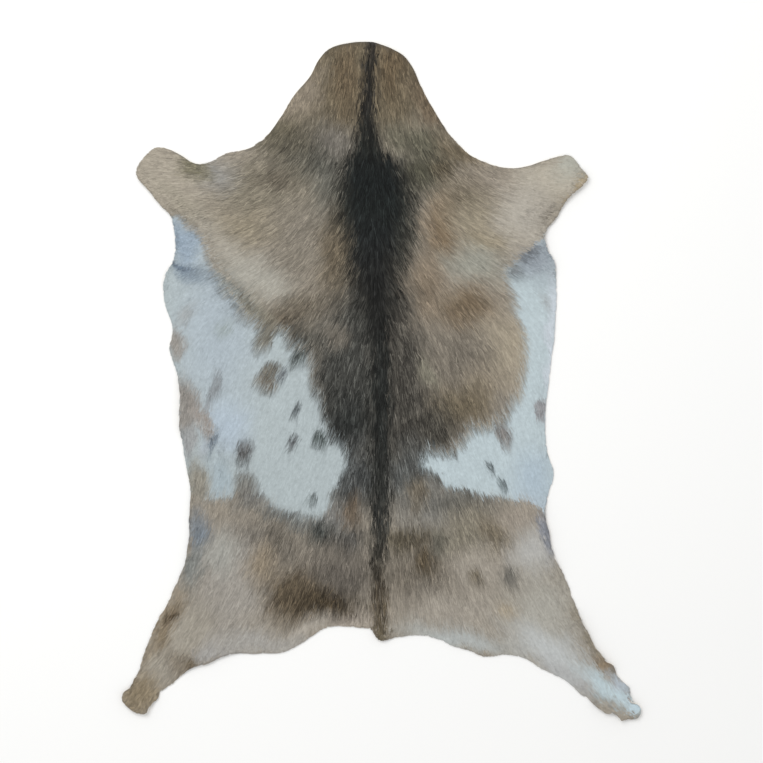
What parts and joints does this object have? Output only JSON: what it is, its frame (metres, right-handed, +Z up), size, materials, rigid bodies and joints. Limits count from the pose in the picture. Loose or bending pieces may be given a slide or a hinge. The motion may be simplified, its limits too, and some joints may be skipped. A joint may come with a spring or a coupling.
{
  "type": "goatskin rug",
  "caption": "One-piece goat hide tanned with its short mottled hair left on, trimmed to the shape of neck, legs and tail, lying flat as a rug.",
  "frame": {"origin": "middle of the hide's length and width, on the surface it lies on", "axes": "+Y along the backbone towards the neck, +X to the right seen from above with the neck up, +Z up through the hair side"},
  "size_m": [0.7286, 0.955, 0.0123],
  "materials": {
    "coat": "short goat hair, matt with a slight sheen along the lay: tan and grey shoulders and rump, near-black stripe down the back, bluish white flanks with brown spots",
    "flesh_side": "pale cream suede of the tanned flesh side and the cut edge"
  },
  "bodies": {
    "root": {"goatskin": "coat"}
  },
  "joints": []
}
